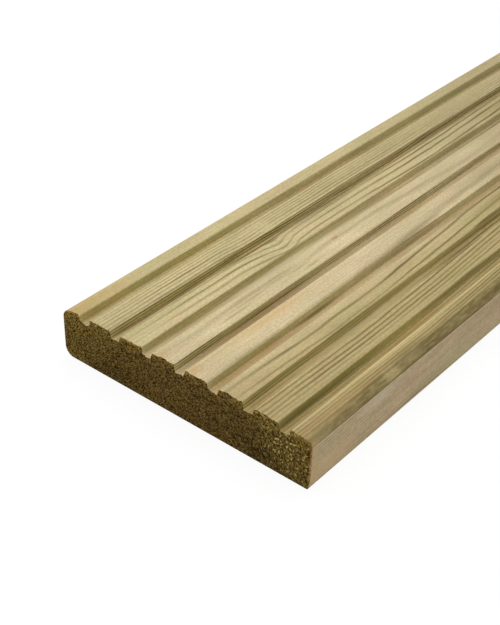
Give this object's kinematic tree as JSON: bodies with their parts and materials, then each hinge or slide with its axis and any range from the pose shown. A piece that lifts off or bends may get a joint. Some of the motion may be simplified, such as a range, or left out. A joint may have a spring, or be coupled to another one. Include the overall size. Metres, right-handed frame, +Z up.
{
  "type": "decking board",
  "caption": "Flat softwood decking board with a slightly crowned walking face grooved along its length, plain underside, rounded long edges and square-sawn ends.",
  "frame": {"origin": "middle of the board's flat underside", "axes": "+X along the board, +Y across it, +Z up out of the grooved walking face; the end shown in the picture is at -X and the long edge shown is at -Y"},
  "size_m": [1.8, 0.145, 0.028],
  "materials": {
    "pressure_treated_pine": "planed and pressure treated pale green, ends sawn"
  },
  "bodies": {
    "root": {"decking_board": "pressure_treated_pine"}
  },
  "joints": []
}
